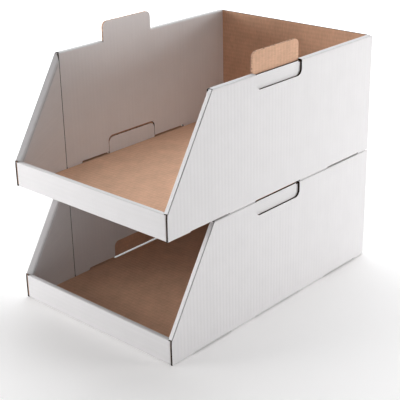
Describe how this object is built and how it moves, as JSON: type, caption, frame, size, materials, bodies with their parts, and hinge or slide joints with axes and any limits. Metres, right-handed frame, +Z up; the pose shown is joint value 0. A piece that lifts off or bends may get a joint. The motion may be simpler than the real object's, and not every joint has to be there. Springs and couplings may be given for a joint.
{
  "type": "stack of storage boxes",
  "caption": "Open-fronted storage boxes of folded corrugated board, stacked and held by tabs, with slanted side walls and a low front lip.",
  "frame": {"origin": "middle of the lower box's underside", "axes": "+Z up, +Y from the open front to the rear wall, +X to the right seen from the front"},
  "size_m": [0.3, 0.442, 0.3855],
  "materials": {
    "board": "matte white outer liner, brown kraft inner liner and raw cut edges"
  },
  "bodies": {
    "root": {"lower_box": "board", "upper_box": "board"}
  },
  "joints": []
}
